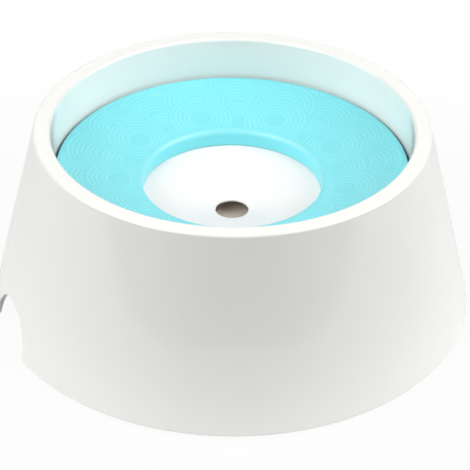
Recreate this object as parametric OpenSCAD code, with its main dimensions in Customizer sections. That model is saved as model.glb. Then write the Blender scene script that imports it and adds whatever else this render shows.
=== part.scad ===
// Spill-proof water bowl for a dog: a wide conical shell with a thick rim, a water basin that
// clicks in under the rim, and a hollow float that lies in the basin and rises with the water.
// Millimetres, +Z up. The bowl stands on its four rubber feet at z = 0, centred on the Z axis.

/* [Outer shell] */
// Diameter of the shell at its bottom edge
base_d = 250; // [240:1:300]
// Diameter of the shell at the top of the rim
rim_d = 200; // [198:0.5:210]
// Height of the shell from its bottom edge to the top of the rim
shell_h = 98.6; // [90:0.1:130]
// Wall of the conical skirt, measured square to the wall
shell_wall = 2.4; // [2:0.1:3]
// Width of the rim's top, from its outer edge to the mouth
rim_w = 8.5; // [7.5:0.1:14]
// Fall of the rim's top from its outer edge to the mouth
rim_fall = 0.2; // [0:0.1:3]
// Thickness of the rim's top
rim_t = 2.4; // [1.8:0.1:3]
// Rounding of the skirt's bottom edge
edge_round = 0.8; // [0.2:0.1:1]
// Rounding of the rim's outer edge
rim_outer_round = 1.4; // [0.4:0.1:1.8]
// Rounding of the rim's edge towards the mouth
rim_inner_round = 1.6; // [0.5:0.1:3]
// Depth of the splash wall that hangs from the rim inside the basin
splash_h = 27; // [18:0.5:32]
// Thickness of the splash wall
splash_t = 1.9; // [1.4:0.1:2.4]
// Radius of the finger notch in the bottom edge, one on each side
notch_r = 21.5; // [12:0.5:28]
// Thickness of the upright ribs inside the skirt
shell_rib_t = 1.8; // [1.2:0.1:3]
// Number of upright ribs inside the skirt
shell_ribs = 8; // [4:4:16]
// How far the upright ribs stop short of the skirt's bottom edge
shell_rib_lift = 2; // [1:0.5:6]

/* [Water basin] */
// Height of the basin's floor above the shell's bottom edge
floor_h = 40; // [30:0.5:44]
// Wall and floor of the basin
basin_wall = 2.2; // [1.6:0.1:2.6]
// Draft of the basin's wall in degrees
basin_draft = 1.2; // [0.5:0.1:3]
// Rounding between the basin's wall and its floor, inside
basin_round = 9; // [4:0.5:12]
// Thickness of the flange at the basin's top
flange_t = 2; // [1.2:0.1:3]
// Rounding of the flange's two outer edges
flange_round = 0.3; // [0.1:0.1:0.8]
// Play between the basin and the parts of the shell that hold it
basin_play = 0.4; // [0.2:0.05:0.6]
// Height of the ribs under the basin's floor
floor_rib_h = 4; // [2:0.5:8]
// Thickness of the ribs under the basin's floor
floor_rib_t = 1.6; // [1:0.1:3]
// Radius of the inner ring rib under the floor
floor_rib_in = 26; // [15:1:40]
// Radius of the outer ring rib under the floor
floor_rib_out = 70; // [50:1:78]
// Number of radial ribs under the floor
floor_ribs = 8; // [3:1:16]

/* [Snap lugs] */
// Width of each lug that holds the basin's flange
lug_w = 14; // [6:1:20]
// Height of each lug
lug_h = 5; // [3:0.5:8]
// Height of a lug's upright face, above its slope
lug_face = 1.2; // [0.5:0.1:2]
// How far the flange reaches over each lug
lug_grip = 1; // [0.4:0.1:1.4]

/* [Float] */
// Gap between the float and the mouth all round
float_gap = 1.6; // [1:0.1:4]
// Height of the float from the underside of its air chamber to its outer edge
float_h = 32; // [26:0.5:38]
// Wall of both float mouldings
float_wall = 2; // [1.4:0.1:2.4]
// Height of the feet under the float's air chamber
float_foot_h = 4; // [2:0.5:8]
// Number of feet under the float
float_feet = 8; // [3:1:12]
// Length of each of these feet, between the centres of its round ends
float_foot_len = 14; // [4:0.5:20]
// Width of each of these feet
float_foot_w = 3; // [2:0.2:5]
// Rounding of the air chamber's corners, inside
chamber_round = 2.5; // [1:0.5:4]
// How far the walls of the air chamber lean over their height
chamber_lean = 1.2; // [0.5:0.1:2]
// Height of the float ring's outer edge band
band_h = 9.5; // [6:0.5:14]
// Radius of the drinking opening inside the float ring
opening_r = 45.7; // [36:0.1:56]
// Height of the ring's rolled crest above its foot on the dish
crest_h = 9.4; // [6:0.2:12]
// Rounding of the crest
crest_round = 3.4; // [1.2:0.1:3.8]
// Hollow of the ring's top between its edge and the crest
ring_sag = 0.6; // [0:0.1:1.5]
// Height of the ring's foot above the underside of the air chamber
seat_h = 14.5; // [10:0.5:16]
// Fall of the drinking dish from the ring's foot to its centre hole
dish_fall = 10.5; // [5:0.5:11]
// Diameter of the centre hole that the water wells up through
hole_d = 17.2; // [8:0.2:30]
// Wall of the dish at the centre hole, thinner than the rest of the float
hole_wall = 1.2; // [0.8:0.1:1.6]
// Play between the ring's edge band and the air chamber's wall
float_play = 0.4; // [0.2:0.05:0.6]

/* [Rubber feet] */
// How far the feet stand below the shell's bottom edge
foot_proud = 1.5; // [1:0.1:4]
// Diameter of a foot's disc
foot_d = 13; // [9:0.5:14]
// Diameter of a foot's stem
stem_d = 5; // [3:0.1:7]
// Play round a foot's stem in its bore
stem_play = 0.1; // [0.05:0.05:0.3]
// Length of a foot's stem
stem_h = 7; // [4:0.5:12]
// Gap between a foot's disc and the inside of the skirt
foot_gap = 1.5; // [0.5:0.1:3]
// Wall of the boss round a foot, past the disc
boss_margin = 1.5; // [0.5:0.1:3]
// Height of the boss that holds a foot
boss_h = 20; // [14:1:30]

/* [Hidden] */

$fn = 180;
arc_steps = 8;
// A small overlap that makes joined solids meet for certain
bite = 0.2;

base_r = base_d / 2;
rim_r = rim_d / 2;
mouth_r = rim_r - rim_w;
hole_r = hole_d / 2;
// The conical skirt leans in by this angle, so its wall is this thick on the level
skirt_lean = atan((base_r - rim_r) / shell_h);
skirt_t = shell_wall / cos(skirt_lean);

edge_z = foot_proud;
top_z = edge_z + shell_h;
mouth_z = top_z - rim_fall;
land_z = mouth_z - rim_t;
splash_z = mouth_z - splash_h;

// The basin fits round the splash wall and stands off the skirt by the same play
basin_top_r = mouth_r + splash_t + basin_play;
flange_z = land_z - flange_t;
flange_r = skirt_in_r(land_z) - basin_play;
floor_z = edge_z + floor_h;
basin_floor_r = basin_in_r(floor_z);

// The float's underside, its seat for the ring and its outer edge
chamber_z = floor_z + float_foot_h;
seat_z = chamber_z + seat_h;
crest_z = seat_z + crest_h;
float_top_z = chamber_z + float_h;
float_r = mouth_r - float_gap;
chamber_r = float_r - float_wall - float_play;
ring_fall = (float_top_z - crest_z) / (float_r - opening_r);
chamber_top_z = ring_under_z(chamber_r - float_wall);
dish_z = seat_z - dish_fall;

// Where the feet and the snap lugs stand round the bowl; the feet start at the back right
foot_angles = [45, 135, 225, 315];
lug_angles = [0, 90, 180, 270];
foot_circle_r = skirt_in_r(edge_z) - foot_gap - foot_d / 2;

// Outer radius of the conical skirt at a height
function skirt_r(z) = base_r - (z - edge_z) * (base_r - rim_r) / shell_h;

// Inner radius of the conical skirt at a height
function skirt_in_r(z) = skirt_r(z) - skirt_t;

// Inner radius of the basin at a height
function basin_in_r(z) = basin_top_r - (land_z - z) * tan(basin_draft);

// Height of the float ring's underside, a wall below its top
function ring_under_z(r) = crest_z + (r - opening_r) * ring_fall - ring_sag - float_wall;

function unit(v) = v / norm(v);

// The arc of radius r that rounds the corner b between its neighbours a and c
function corner_arc(a, b, c, r) =
    let (
        u = unit(a - b),
        w = unit(c - b),
        half = acos(u * w) / 2,
        centre = b + unit(u + w) * r / sin(half),
        first = b + u * r / tan(half) - centre,
        last = b + w * r / tan(half) - centre,
        start = atan2(first.y, first.x),
        swing = atan2(last.y, last.x) - start,
        turn = swing > 180 ? swing - 360 : swing < -180 ? swing + 360 : swing
    )
    [for (i = [0:arc_steps]) let (t = start + turn * i / arc_steps) centre + r * [cos(t), sin(t)]];

// An outline from corners [x, y, rounding]; a rounding of 0 keeps the corner sharp
function outline(corners) =
    let (n = len(corners), xy = [for (p = corners) [p.x, p.y]])
    [for (i = [0:n - 1])
        each corners[i].z > 0
            ? corner_arc(xy[(i + n - 1) % n], xy[i], xy[(i + 1) % n], corners[i].z)
            : [xy[i]]];

// A ring-shaped solid from its half section
module turned(corners) {
    rotate_extrude() polygon(outline(corners));
}

// Copies its child round the Z axis at the given angles
module at_angles(angles) {
    for (a = angles) rotate([0, 0, a]) children();
}

// The solid cone inside the middle of the skirt's wall, which trims ribs and bosses
module inside_of_skirt() {
    translate([0, 0, edge_z])
        cylinder(r1 = base_r - skirt_t / 2, r2 = rim_r - skirt_t / 2, h = shell_h);
}

// The skirt, the rim and the splash wall, one wall that turns down at the mouth
module shell_wall_ring() {
    turned([
        [base_r, edge_z, edge_round],
        [rim_r, top_z, rim_outer_round],
        [mouth_r, mouth_z, rim_inner_round],
        [mouth_r, splash_z, splash_t / 4],
        [basin_in_r(splash_z) - basin_play, splash_z, splash_t / 4],
        [mouth_r + splash_t, land_z, 0],
        [skirt_in_r(land_z), land_z, 0],
        [skirt_in_r(edge_z), edge_z, edge_round]
    ]);
}

// One upright rib: it stiffens the skirt and centres the basin
module shell_rib() {
    stand_off = basin_top_r + basin_wall + basin_play;
    low_z = edge_z + shell_rib_lift;
    high_z = flange_z - 2 * lug_h;
    rotate([90, 0, 0])
        translate([0, 0, -shell_rib_t / 2])
            linear_extrude(shell_rib_t)
                polygon([
                    [stand_off, high_z],
                    [stand_off, floor_z + basin_round],
                    [skirt_in_r(edge_z), low_z],
                    [base_r, low_z],
                    [base_r, high_z]
                ]);
}

// One lug inside the skirt that the basin's flange clicks over, sloped below for the mould
module snap_lug() {
    lug_top = flange_z - basin_play / 2;
    rotate([90, 0, 0])
        translate([0, 0, -lug_w / 2])
            linear_extrude(lug_w)
                polygon([
                    [flange_r - lug_grip, lug_top],
                    [flange_r - lug_grip, lug_top - lug_face],
                    [skirt_in_r(lug_top - lug_h), lug_top - lug_h],
                    [base_r, lug_top - lug_h],
                    [base_r, lug_top]
                ]);
}

// The closed post that a rubber foot plugs into
module foot_boss() {
    translate([foot_circle_r, 0, edge_z])
        cylinder(d = foot_d + 2 * boss_margin, h = boss_h);
}

module outer_shell() {
    color([0.97, 0.97, 0.96])
        difference() {
            union() {
                shell_wall_ring();
                intersection() {
                    union() {
                        at_angles([for (i = [0:shell_ribs - 1]) (i + 0.5) * 360 / shell_ribs]) shell_rib();
                        at_angles(lug_angles) snap_lug();
                        at_angles(foot_angles) foot_boss();
                    }
                    inside_of_skirt();
                }
            }
            // The two finger notches, cut in one go along X
            translate([-base_d, 0, edge_z])
                rotate([0, 90, 0])
                    cylinder(r = notch_r, h = 2 * base_d);
            // The blind bores for the stems of the feet
            at_angles(foot_angles)
                translate([foot_circle_r, 0, 0])
                    cylinder(d = stem_d + 2 * stem_play, h = edge_z + stem_h + stem_play);
        }
}

module water_basin() {
    color([0.95, 0.96, 0.96])
        union() {
            turned([
                [0, floor_z, 0],
                [basin_floor_r, floor_z, basin_round],
                [basin_top_r, land_z, 0],
                [flange_r, land_z, flange_round],
                [flange_r, flange_z, flange_round],
                [basin_top_r + basin_wall, flange_z, 0],
                [basin_floor_r + basin_wall, floor_z - basin_wall, basin_round + basin_wall],
                [0, floor_z - basin_wall, 0]
            ]);
            // Two ring ribs and the radial ribs between them stiffen the floor from below
            translate([0, 0, floor_z - basin_wall - floor_rib_h]) {
                for (r = [floor_rib_in, floor_rib_out])
                    difference() {
                        cylinder(r = r + floor_rib_t / 2, h = floor_rib_h + bite);
                        translate([0, 0, -bite])
                            cylinder(r = r - floor_rib_t / 2, h = floor_rib_h + 3 * bite);
                    }
                at_angles([for (i = [0:floor_ribs - 1]) i * 360 / floor_ribs])
                    translate([floor_rib_in, -floor_rib_t / 2, 0])
                        cube([floor_rib_out - floor_rib_in, floor_rib_t, floor_rib_h + bite]);
            }
        }
}

// A shallow curve of points between two ends, hollow by sag at its middle
function sagging(a, b, sag) =
    [for (i = [1:arc_steps - 1])
        let (t = i / arc_steps)
        a + (b - a) * t - [0, 4 * sag * t * (1 - t)]];

// The coloured upper moulding of the float: edge band, hollow top, rolled crest and lip
module float_ring() {
    crest = [opening_r, crest_z];
    edge = [float_r, float_top_z];
    lip_r = opening_r + float_wall;
    band_r = float_r - float_wall;
    band_z = float_top_z - band_h;
    color([0.36, 0.85, 0.92])
        turned(concat(
            [
                [edge.x, edge.y, float_wall / 2],
                [float_r, band_z, float_wall / 3],
                [band_r, band_z, float_wall / 3],
                [band_r, chamber_top_z, 0],
                [chamber_r - float_wall, chamber_top_z, 0],
                [lip_r, ring_under_z(lip_r), 0],
                [lip_r, seat_z, 0],
                [opening_r, seat_z, 0],
                [crest.x, crest.y, crest_round]
            ],
            [for (p = sagging(crest, edge, ring_sag)) [p.x, p.y, 0]]
        ));
}

// One foot under the air chamber, a short rib with round ends
module float_foot() {
    translate([(opening_r + chamber_r) / 2, 0, floor_z])
        linear_extrude(float_foot_h + bite) {
            square([float_foot_len, float_foot_w], center = true);
            for (s = [-1, 1])
                translate([s * float_foot_len / 2, 0])
                    circle(d = float_foot_w);
        }
}

// The white lower moulding of the float: the drinking dish with its hole and the air chamber
module float_dish() {
    seat_r = opening_r + 2 * float_wall;
    wall_foot_r = seat_r + chamber_lean;
    wall_out_r = chamber_r - chamber_lean;
    color([0.98, 0.98, 0.98])
        union() {
            turned([
                [hole_r, dish_z, hole_wall / 3],
                [opening_r, seat_z, 0],
                [seat_r, seat_z, float_wall / 3],
                [wall_foot_r, chamber_z + float_wall, chamber_round],
                [wall_out_r - float_wall, chamber_z + float_wall, chamber_round],
                [chamber_r - float_wall, chamber_top_z, 0],
                [chamber_r, chamber_top_z, 0],
                [wall_out_r, chamber_z, chamber_round + float_wall],
                [wall_foot_r - float_wall, chamber_z, chamber_round],
                [seat_r - float_wall, seat_z - float_wall, 0],
                [opening_r, seat_z - float_wall, 0],
                [hole_r, dish_z - hole_wall, hole_wall / 3]
            ]);
            at_angles([for (i = [0:float_feet - 1]) i * 360 / float_feet]) float_foot();
        }
}

// One soft foot: a disc with a rounded lower edge and a stem that plugs into its boss
module rubber_foot(angle) {
    color([0.75, 0.76, 0.77])
        rotate([0, 0, angle])
            translate([foot_circle_r, 0, 0])
                turned([
                    [0, 0, 0],
                    [foot_d / 2, 0, foot_proud / 3],
                    [foot_d / 2, edge_z, 0],
                    [stem_d / 2, edge_z, 0],
                    [stem_d / 2, edge_z + stem_h, stem_d / 8],
                    [0, edge_z + stem_h, 0]
                ]);
}

module foot_front_left() { rubber_foot(foot_angles[2]); }
module foot_front_right() { rubber_foot(foot_angles[3]); }
module foot_back_left() { rubber_foot(foot_angles[1]); }
module foot_back_right() { rubber_foot(foot_angles[0]); }

outer_shell();
water_basin();
float_ring();
float_dish();
foot_front_left();
foot_front_right();
foot_back_left();
foot_back_right();
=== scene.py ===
"""Spill-proof dog water bowl: the looks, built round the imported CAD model.

Metres, +Z up, the bowl stands on z = 0 with its centre on the Z axis.
"""
import math

import bpy
import numpy as np
from mathutils import Matrix, Vector


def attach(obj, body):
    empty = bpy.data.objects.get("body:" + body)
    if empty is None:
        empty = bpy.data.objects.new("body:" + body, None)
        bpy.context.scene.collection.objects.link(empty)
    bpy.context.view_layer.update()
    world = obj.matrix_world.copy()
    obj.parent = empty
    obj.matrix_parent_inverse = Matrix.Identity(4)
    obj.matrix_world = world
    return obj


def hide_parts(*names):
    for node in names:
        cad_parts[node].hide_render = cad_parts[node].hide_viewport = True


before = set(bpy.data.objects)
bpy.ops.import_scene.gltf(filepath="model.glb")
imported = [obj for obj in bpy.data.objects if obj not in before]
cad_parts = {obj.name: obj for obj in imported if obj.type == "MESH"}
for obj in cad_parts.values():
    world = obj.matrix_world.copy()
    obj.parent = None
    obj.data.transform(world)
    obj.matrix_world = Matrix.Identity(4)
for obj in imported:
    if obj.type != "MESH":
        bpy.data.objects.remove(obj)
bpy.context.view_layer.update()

# Camera. It stands in front and to the left of the bowl, looking down at 33 degrees.
# The last three angles are the small turns by which the bowl sits off the picture's middle.
camera_azimuth = math.radians(-23)
camera_height_angle = math.radians(33.102)
camera_distance = 0.93895
camera_aim = Vector((0, 0, 0.0515))
camera_sensor_mm, camera_lens_mm = 36, 139.07
camera_pan, camera_tilt, camera_roll = (math.radians(a) for a in (-0.1044, -0.9266, 0.5881))

towards_camera = Vector((math.sin(camera_azimuth), -math.cos(camera_azimuth), 0))
right_of_view = Vector((math.cos(camera_azimuth), math.sin(camera_azimuth), 0))
back_along_view = (towards_camera * math.cos(camera_height_angle)
                   + Vector((0, 0, math.sin(camera_height_angle))))
camera_data = bpy.data.cameras.new("camera")
camera_data.sensor_width = camera_sensor_mm
camera_data.lens = camera_lens_mm
camera_data.clip_start, camera_data.clip_end = 0.05, 50
camera = bpy.data.objects.new("camera", camera_data)
camera.matrix_world = (
    Matrix.Translation(camera_aim + back_along_view * camera_distance)
    @ Matrix.Rotation(camera_azimuth, 4, "Z")
    @ Matrix.Rotation(math.pi / 2 - camera_height_angle, 4, "X")
    @ Matrix.Rotation(camera_pan, 4, "Y")
    @ Matrix.Rotation(camera_tilt, 4, "X")
    @ Matrix.Rotation(camera_roll, 4, "Z")
)
bpy.context.scene.collection.objects.link(camera)
bpy.context.scene.camera = camera


# Outer shell. One white polypropylene moulding, the conical skirt with its thick rim and the
# splash wall that hangs inside the mouth; polished in the mould, so it is glossy outside.
cloud_scale = 22
cloud_low, cloud_high = 0.3, 0.7
roughness_swing = 0.14
plastic_ior = 1.49


def moulded_plastic(name, colour, shade, roughness, grain_size, grain_depth):
    """A moulded finish on Object coordinates. Broad clouds of noise lead the colour from shade
    to colour, and the roughness from a seventh less to a seventh more than its value; fine
    noise of the given size, in metres, is the bump, and its depth is in metres too."""
    material = bpy.data.materials.new(name)
    material.use_nodes = True
    nodes, links = material.node_tree.nodes, material.node_tree.links
    shader = nodes["Principled BSDF"]
    shader.inputs["IOR"].default_value = plastic_ior
    place = nodes.new("ShaderNodeTexCoord")

    clouds = nodes.new("ShaderNodeTexNoise")
    clouds.inputs["Scale"].default_value = cloud_scale
    clouds.inputs["Detail"].default_value = 3
    links.new(place.outputs["Object"], clouds.inputs["Vector"])
    tone = nodes.new("ShaderNodeValToRGB")
    low, high = tone.color_ramp.elements
    low.position, high.position = cloud_low, cloud_high
    low.color, high.color = (*shade, 1), (*colour, 1)
    links.new(clouds.outputs["Fac"], tone.inputs["Fac"])
    links.new(tone.outputs["Color"], shader.inputs["Base Color"])

    gloss = nodes.new("ShaderNodeMapRange")
    gloss.inputs["From Min"].default_value = cloud_low
    gloss.inputs["From Max"].default_value = cloud_high
    gloss.inputs["To Min"].default_value = roughness * (1 - roughness_swing)
    gloss.inputs["To Max"].default_value = roughness * (1 + roughness_swing)
    links.new(clouds.outputs["Fac"], gloss.inputs["Value"])
    links.new(gloss.outputs["Result"], shader.inputs["Roughness"])

    grain = nodes.new("ShaderNodeTexNoise")
    grain.inputs["Scale"].default_value = 1 / grain_size
    grain.inputs["Detail"].default_value = 2
    links.new(place.outputs["Object"], grain.inputs["Vector"])
    bump = nodes.new("ShaderNodeBump")
    bump.inputs["Strength"].default_value = 1
    bump.inputs["Distance"].default_value = grain_depth
    links.new(grain.outputs["Fac"], bump.inputs["Height"])
    links.new(bump.outputs["Normal"], shader.inputs["Normal"])
    return material


def finish_node(node, material):
    """Gives a CAD node its material in every slot."""
    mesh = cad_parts[node].data
    mesh.materials.clear()
    mesh.materials.append(material)


shell_finish = moulded_plastic("shell gloss white", colour=(0.850, 0.845, 0.815),
                               shade=(0.838, 0.833, 0.802), roughness=0.06,
                               grain_size=0.004, grain_depth=0.0000005)
finish_node("outer_shell", shell_finish)

# Water basin. An ivory polypropylene tub with ribs under its floor, whose flange bears on the
# underside of the rim and is held there by four snap lugs; its mould is not polished, so it
# is less glossy than the shell.
basin_finish = moulded_plastic("basin satin ivory", colour=(0.92, 0.82, 0.71),
                               shade=(0.905, 0.805, 0.695), roughness=0.35,
                               grain_size=0.0015, grain_depth=0.00001)
finish_node("water_basin", basin_finish)

# Float dish. The lower half of the float, one white polypropylene moulding with the dish, its
# centre hole, the trough of the air chamber and the feet that it stands on, welded under the
# ring.
dish_finish = moulded_plastic("dish satin white", colour=(0.935, 0.900, 0.890),
                              shade=(0.925, 0.890, 0.880), roughness=0.23,
                              grain_size=0.0012, grain_depth=0.000006)
finish_node("float_dish", dish_finish)

# Float ring. The light blue polypropylene upper half of the float, welded onto the dish. It is
# moulded with a fine relief of the traditional wave pattern: overlapping groups of concentric
# ridges, nine round the ring in each row.
ring_opening_r = 0.0457
ring_outer_r = 0.0899
ring_seat_z = 0.0600
ring_crest_z = 0.0694
ring_edge_z = 0.0775
ring_sag = 0.0006
ring_wall = 0.0020
ring_band_z = 0.0680
ring_chamber_r = 0.0855
crest_rounding = 0.0034
edge_rounding = 0.0010
lip_foot_rounding = 0.0010
band_rounding = ring_wall / 3

wave_count = 9
wave_turn = math.radians(4.2)
wave_first_r = 0.0064
wave_pitch = 0.0024
wave_depth = 0.00021
wave_overlap = wave_pitch / 4
# The pattern fades in from the first to the second of these radii, and out from the third to
# the fourth.
plain_in, full_in, full_out, plain_out = 0.0492, 0.0500, 0.0882, 0.0888
# Each row of groups: its distance from the middle of the ring, whether it stands half a step
# on, and how many ridges it has. A row hides the rows below it in this list.
wave_rows = ((0.0582, 0.0, 5), (0.0524, 0.5, 5), (0.0711, 0.0, 5),
             (0.0662, 0.5, 7), (0.0838, 0.0, 7))


def corner_arc(before, corner, after, rounding, steps):
    """Points on the circle of the given radius that touches both sides of a corner, from the
    side before to the side after: its centre lies on the bisector at rounding / sin(half)."""
    before, corner, after = (np.array(p, float) for p in (before, corner, after))
    u = (before - corner) / np.linalg.norm(before - corner)
    w = (after - corner) / np.linalg.norm(after - corner)
    half = math.acos(u @ w) / 2
    bisector = (u + w) / np.linalg.norm(u + w)
    centre = corner + bisector * rounding / math.sin(half)
    first = corner + u * rounding / math.tan(half) - centre
    last = corner + w * rounding / math.tan(half) - centre
    start, end = math.atan2(first[1], first[0]), math.atan2(last[1], last[0])
    end += 2 * math.pi * round((start - end) / (2 * math.pi))
    angles = np.linspace(start, end, steps + 1)
    return centre + rounding * np.stack([np.cos(angles), np.sin(angles)], -1)


def ring_top(r):
    """Height of the ring's top at a radius: a straight fall from edge to crest, less a
    parabola that hangs by ring_sag at its middle."""
    t = (r - ring_opening_r) / (ring_outer_r - ring_opening_r)
    return ring_crest_z + (ring_edge_z - ring_crest_z) * t - 4 * ring_sag * t * (1 - t)


def wave_height(x, y):
    """Height of the relief at a point: within its front-most group, a raised cosine of the
    distance from the group's centre, one crest for each ridge; plain at each group's middle.
    A group hides those below it up to a smooth step beyond its last ridge."""
    height = np.zeros_like(x)
    free = np.ones_like(x)
    step = 2 * math.pi / wave_count
    angle = np.arctan2(y, x)
    radius = np.hypot(x, y)
    for row_r, shift, ridges in wave_rows:
        near = np.round((angle - wave_turn) / step - shift) + shift
        off = angle - wave_turn - near * step
        distance = np.sqrt(radius ** 2 + row_r ** 2 - 2 * radius * row_r * np.cos(off))
        group_r = wave_first_r + (ridges - 0.5) * wave_pitch
        ridge = 0.5 + 0.5 * np.cos(2 * math.pi * (distance - wave_first_r) / wave_pitch)
        ridge[distance < wave_first_r - wave_pitch / 2] = 0
        inside = distance < group_r
        height += np.where(inside, ridge * free, 0)
        border = np.clip((distance - group_r) / wave_overlap, 0, 1)
        free *= border * border * (3 - 2 * border)
    fade_in = np.clip((radius - plain_in) / (full_in - plain_in), 0, 1)
    fade_out = np.clip((plain_out - radius) / (plain_out - full_out), 0, 1)
    return wave_depth * height * fade_in * fade_out


def turned_rows(points, columns):
    """A grid of vertices: each profile point (r, z) carried round the Z axis in equal steps."""
    angle = np.arange(columns) * 2 * math.pi / columns
    r, z = points[:, 0, None], points[:, 1, None]
    return np.stack([r * np.cos(angle), r * np.sin(angle), z + 0 * angle], -1)


def grid_faces(rows, columns, first):
    """Quads between neighbouring rows of a turned grid whose vertices start at index first;
    they face outwards when the profile runs from the inside over the top to the outside."""
    i, j = np.meshgrid(np.arange(rows - 1), np.arange(columns), indexing="ij")
    k = (j + 1) % columns
    quad = np.stack([i * columns + j, (i + 1) * columns + j, (i + 1) * columns + k,
                     i * columns + k], -1) + first
    return quad.reshape(-1, 4)


# The steps round the axis on the top and underneath, and the steps of each rounded corner.
top_columns, under_columns = 1152, 192
sag_steps, crest_steps, edge_steps, corner_steps, slope_steps = 8, 9, 6, 5, 66
top_r = np.linspace(ring_opening_r, ring_outer_r, sag_steps + 1)
next_to_crest = (top_r[1], ring_top(top_r[1]))
next_to_edge = (top_r[-2], ring_top(top_r[-2]))
crest_corner = (ring_opening_r, ring_crest_z)
edge_corner = (ring_outer_r, ring_edge_z)
crest_arc = corner_arc((ring_opening_r, ring_seat_z), crest_corner, next_to_crest,
                       crest_rounding, crest_steps)
edge_arc = corner_arc(next_to_edge, edge_corner, (ring_outer_r, ring_band_z), edge_rounding,
                      edge_steps)
slope_r = np.linspace(crest_arc[-1, 0], edge_arc[0, 0], slope_steps + 1)[1:-1]
top_profile = np.concatenate([crest_arc, np.stack([slope_r, ring_top(slope_r)], -1), edge_arc])

band_in_r = ring_outer_r - ring_wall
lip_out_r = ring_opening_r + ring_wall


def ring_underside(r):
    """Height of the ring's underside at a radius: the straight fall, a wall and a sag lower."""
    fall = (ring_edge_z - ring_crest_z) / (ring_outer_r - ring_opening_r)
    return ring_crest_z + (r - ring_opening_r) * fall - ring_sag - ring_wall


# The profile underneath runs down the outer edge, round the foot of the edge band, along the
# underside to the lip and round the lip's foot up to the crest.
chamber_top_z = ring_underside(ring_chamber_r)
band_foot, band_inner_foot = (ring_outer_r, ring_band_z), (band_in_r, ring_band_z)
under_profile = np.concatenate([
    [(ring_outer_r, ring_edge_z - 3 * edge_rounding)],
    corner_arc(edge_corner, band_foot, band_inner_foot, band_rounding, corner_steps),
    corner_arc(band_foot, band_inner_foot, (band_in_r, chamber_top_z), band_rounding,
               corner_steps),
    [(band_in_r, chamber_top_z), (ring_chamber_r, chamber_top_z)],
    [(lip_out_r, ring_underside(lip_out_r)), (lip_out_r, ring_seat_z)],
    corner_arc((lip_out_r, ring_seat_z), (ring_opening_r, ring_seat_z), crest_corner,
               lip_foot_rounding, corner_steps),
    [(ring_opening_r, crest_arc[0, 1] - ring_wall)],
])

# The relief stands out square to the slope of its row.
top_grid = turned_rows(top_profile, top_columns)
relief = wave_height(top_grid[..., 0], top_grid[..., 1])
top_slope = np.gradient(top_profile[:, 1]) / np.maximum(np.gradient(top_profile[:, 0]), 1e-6)
lean = np.arctan(top_slope)[:, None]
radius_of_row = top_profile[:, 0, None]
outward = top_grid[..., :2] / radius_of_row[..., None]
top_grid[..., :2] -= outward * (relief * np.sin(lean))[..., None]
top_grid[..., 2] += relief * np.cos(lean)
under_grid = turned_rows(under_profile, under_columns)

# The top has more columns than the underside, so at both seams each face joins one edge of the
# underside to the per_side edges of the top that stand over it.
top_rows, under_rows = len(top_profile), len(under_profile)
top_total = top_rows * top_columns
per_side = top_columns // under_columns
side = np.arange(under_columns)
next_side = (side + 1) % under_columns
fan = side[:, None] * per_side + np.arange(per_side + 1)
outer_seam = np.concatenate([
    (top_total + side)[:, None], (top_total + next_side)[:, None],
    (top_rows - 1) * top_columns + (fan % top_columns)[:, ::-1]], 1)
last_under = top_total + (under_rows - 1) * under_columns
inner_seam = np.concatenate([
    fan % top_columns, (last_under + next_side)[:, None], (last_under + side)[:, None]], 1)
ring_faces = (grid_faces(top_rows, top_columns, 0).tolist()
              + grid_faces(under_rows, under_columns, top_total).tolist()
              + outer_seam.tolist() + inner_seam.tolist())
ring_vertices = np.concatenate([top_grid.reshape(-1, 3), under_grid.reshape(-1, 3)])
ring_mesh = bpy.data.meshes.new("float_ring_waves")
ring_mesh.from_pydata(ring_vertices.tolist(), [], ring_faces)
ring_mesh.shade_smooth()
ring_mesh.set_sharp_from_angle(angle=math.radians(40))


def share_on_ring(name, first_values):
    """A share from 0 to 1 at each vertex of the ring: the given values, then 0 for the rest."""
    values = np.zeros(len(ring_vertices), np.float32)
    values[:len(first_values)] = first_values
    ring_mesh.attributes.new(name, "FLOAT", "POINT").data.foreach_set("value", values)


# How far up a ridge each point of the top stands, which sets the painted shade of the grooves,
# and how near the middle of the crest, which sets the painted highlight there.
share_on_ring("ridge", (relief / wave_depth).ravel())
share_on_ring("crest", np.repeat(np.sin(np.linspace(0, math.pi, len(crest_arc))), top_columns))

float_ring = bpy.data.objects.new("float_ring_waves", ring_mesh)
bpy.context.scene.collection.objects.link(float_ring)
ring_finish = moulded_plastic("ring satin light blue", colour=(0.247, 0.800, 0.873),
                              shade=(0.240, 0.788, 0.861), roughness=0.23,
                              grain_size=0.0009, grain_depth=0.000003)
nodes, links = ring_finish.node_tree.nodes, ring_finish.node_tree.links
base_colour = nodes["Principled BSDF"].inputs["Base Color"]


def tinted(blend_type, tint, share):
    """Blends a tint into the ring's colour so far, which becomes its mix with the multiplied or
    screened colour, by a share from 0 to 1."""
    mix = nodes.new("ShaderNodeMix")
    mix.data_type, mix.blend_type = "RGBA", blend_type
    mix.inputs["B"].default_value = (*tint, 1)
    links.new(share, mix.inputs["Factor"])
    links.new(base_colour.links[0].from_socket, mix.inputs["A"])
    links.new(mix.outputs["Result"], base_colour)


# Painted shade: the grooves of the relief are darkened in colour, so the ridges look lighter
# than the grooves.
ridges, crest = (nodes.new("ShaderNodeAttribute") for _ in range(2))
ridges.attribute_name, crest.attribute_name = "ridge", "crest"
painted_groove_shade = nodes.new("ShaderNodeMath")
painted_groove_shade.operation = "SUBTRACT"
painted_groove_shade.inputs[0].default_value = 1
links.new(ridges.outputs["Fac"], painted_groove_shade.inputs[1])
tinted("MULTIPLY", (0.82, 0.925, 0.93), painted_groove_shade.outputs["Value"])
# Painted highlight: a pale band screened into the colour round the middle of the crest.
tinted("SCREEN", (0.09, 0.09, 0.09), crest.outputs["Fac"])
ring_mesh.materials.append(ring_finish)
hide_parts("float_ring")
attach(float_ring, "float")

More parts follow.
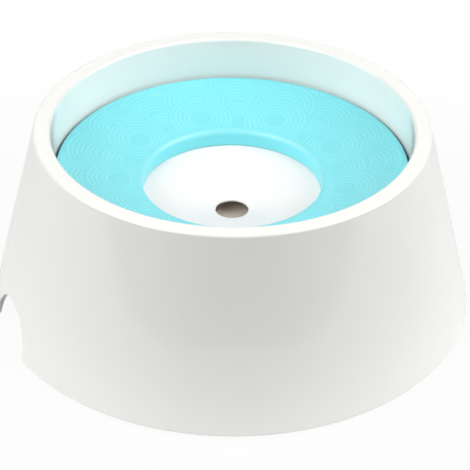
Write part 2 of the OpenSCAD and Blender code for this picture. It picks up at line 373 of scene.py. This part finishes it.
# Rubber feet. Four pale grey thermoplastic rubber buttons with a matt face, each plugged
# into a boss of the shell by its stem.
foot_finish = moulded_plastic("foot pale grey rubber", colour=(0.50, 0.51, 0.52),
                              shade=(0.46, 0.47, 0.48), roughness=0.75,
                              grain_size=0.0005, grain_depth=0.00002)
for foot in ("foot_front_left", "foot_front_right", "foot_back_left", "foot_back_right"):
    finish_node(foot, foot_finish)


# Table and room. A white table whose front edge bows out a little before the bowl, and the
# grey floor of the room below it, which the front of the skirt mirrors as a darker field;
# neither is the object's.
bow_half_width = 0.165


def flat_sheet(name, z, near, bow, far, half_width):
    """A level sheet from far behind the bowl to near in front of it along the view, whose front
    edge stands out in its middle by bow times the bell curve exp(-(across / width)^2)."""
    across = np.concatenate([[-half_width], np.linspace(-0.5, 0.5, 41), [half_width]])
    forward = near + bow * np.exp(-(across / bow_half_width) ** 2)
    ahead, aside = np.array(towards_camera), np.array(right_of_view)
    front = forward[:, None] * ahead + across[:, None] * aside
    back = -far * ahead + across[::-1, None] * aside
    outline = np.concatenate([front, back]) + (0, 0, z)
    mesh = bpy.data.meshes.new(name)
    mesh.from_pydata(outline.tolist(), [], [tuple(range(len(outline)))])
    sheet = bpy.data.objects.new(name, mesh)
    bpy.context.scene.collection.objects.link(sheet)
    return sheet


mirrored_share = 0.78


def seen_directly(nodes, links):
    """A node that is 1 for camera and transmission rays, mirrored_share for glossy ones, because
    the surroundings that the bowl mirrors are not quite white, and 0 for the others."""
    path = nodes.new("ShaderNodeLightPath")
    mirrored = nodes.new("ShaderNodeMath")
    mirrored.operation = "MULTIPLY"
    mirrored.inputs[1].default_value = mirrored_share
    links.new(path.outputs["Is Glossy Ray"], mirrored.inputs[0])
    either = nodes.new("ShaderNodeMath")
    either.operation = "MAXIMUM"
    links.new(path.outputs["Is Camera Ray"], either.inputs[0])
    links.new(mirrored.outputs["Value"], either.inputs[1])
    any_of = nodes.new("ShaderNodeMath")
    any_of.operation = "MAXIMUM"
    links.new(either.outputs["Value"], any_of.inputs[0])
    links.new(path.outputs["Is Transmission Ray"], any_of.inputs[1])
    return any_of


table = flat_sheet("table", z=-0.0001, near=0.29, bow=0.115, far=4, half_width=4)
table_finish = bpy.data.materials.new("table white")
table_finish.use_nodes = True
nodes, links = table_finish.node_tree.nodes, table_finish.node_tree.links
nodes.remove(nodes["Principled BSDF"])
paper = nodes.new("ShaderNodeBsdfDiffuse")
place = nodes.new("ShaderNodeTexCoord")
away = nodes.new("ShaderNodeVectorMath")
away.operation = "LENGTH"
links.new(place.outputs["Object"], away.inputs[0])
fade_from_r, fade_to_r = 0.17, 0.26


def fading(first, last):
    """A node that goes straight from first to last between the two radii of the fade, as
    measured from the middle of the bowl."""
    fade = nodes.new("ShaderNodeMapRange")
    limits = {"From Min": fade_from_r, "From Max": fade_to_r, "To Min": first, "To Max": last}
    for socket, value in limits.items():
        fade.inputs[socket].default_value = value
    links.new(away.outputs["Value"], fade.inputs["Value"])
    return fade


# Near the bowl the table is lit paper in part, which throws light up at the skirt and shows
# its shadow; further out it fades to the plain white of the backdrop.
links.new(fading(0.64, 0.12).outputs["Result"], paper.inputs["Color"])
white = nodes.new("ShaderNodeEmission")
seen = seen_directly(nodes, links)
share = nodes.new("ShaderNodeMath")
share.operation = "MULTIPLY"
links.new(seen.outputs["Value"], share.inputs[0])
links.new(fading(0.94, 1.0).outputs["Result"], share.inputs[1])
mix = nodes.new("ShaderNodeMixShader")
links.new(share.outputs["Value"], mix.inputs["Fac"])
links.new(paper.outputs["BSDF"], mix.inputs[1])
links.new(white.outputs["Emission"], mix.inputs[2])
links.new(mix.outputs["Shader"], nodes["Material Output"].inputs["Surface"])
table.data.materials.append(table_finish)

room_floor = flat_sheet("room_floor", z=-0.4, near=6, bow=0, far=6, half_width=6)
room_finish = bpy.data.materials.new("room grey")
room_finish.use_nodes = True
room_shader = room_finish.node_tree.nodes["Principled BSDF"]
room_shader.inputs["Base Color"].default_value = (0.12, 0.12, 0.12, 1)
room_shader.inputs["Roughness"].default_value = 0.9
room_floor.data.materials.append(room_finish)
room_floor.visible_camera = False


# Lights. A wide soft light overhead and a little behind, seven square ones round the bowl and
# a faint even light from the room; none of them is seen by the camera.
lamp_aim = Vector((0, 0, 0.05))


def soft_light(name, turn, height_angle, distance, size, power):
    """A square area lamp that faces the bowl from a distance, turned about it by an angle from
    the camera's side, and standing above the table by another, both in degrees."""
    lamp = bpy.data.lights.new(name, "AREA")
    lamp.shape = "SQUARE"
    lamp.size = size
    lamp.energy = power
    turn, height_angle = math.radians(turn), math.radians(height_angle)
    level = towards_camera * math.cos(turn) + right_of_view * math.sin(turn)
    outward = level * math.cos(height_angle) + Vector((0, 0, math.sin(height_angle)))
    holder = bpy.data.objects.new(name, lamp)
    holder.location = lamp_aim + outward * distance
    holder.rotation_mode = "QUATERNION"
    holder.rotation_quaternion = (-outward).to_track_quat("-Z", "Y")
    holder.visible_camera = False
    bpy.context.scene.collection.objects.link(holder)


soft_light("top light", 180, 84, 1.6, 1.2, 2.5)
soft_light("left light", -72, 42, 1.5, 0.9, 5.9)
soft_light("low left light", -90, 25, 1.5, 0.9, 5.7)
soft_light("right light", 76, 46, 1.5, 0.9, 8.6)
soft_light("low right light", 90, 25, 1.5, 0.9, 11.2)
soft_light("front left light", -45, 35, 1.5, 0.9, 9.8)
soft_light("front right light", 45, 35, 1.5, 0.9, 2.8)
soft_light("back light", 180, 35, 1.5, 1.0, 1.5)

world = bpy.data.worlds.new("pale room")
bpy.context.scene.world = world
world.use_nodes = True
nodes, links = world.node_tree.nodes, world.node_tree.links
room_light = nodes["Background"]
room_light.inputs["Color"].default_value = (1, 1, 1, 1)
room_light.inputs["Strength"].default_value = 0.03
backdrop = nodes.new("ShaderNodeBackground")
backdrop.inputs["Color"].default_value = (1, 1, 1, 1)
backdrop.inputs["Strength"].default_value = 1
seen = seen_directly(nodes, links)
mix = nodes.new("ShaderNodeMixShader")
links.new(seen.outputs["Value"], mix.inputs["Fac"])
links.new(room_light.outputs["Background"], mix.inputs[1])
links.new(backdrop.outputs["Background"], mix.inputs[2])
links.new(mix.outputs["Shader"], nodes["World Output"].inputs["Surface"])

bpy.context.scene.view_settings.view_transform = "Standard"
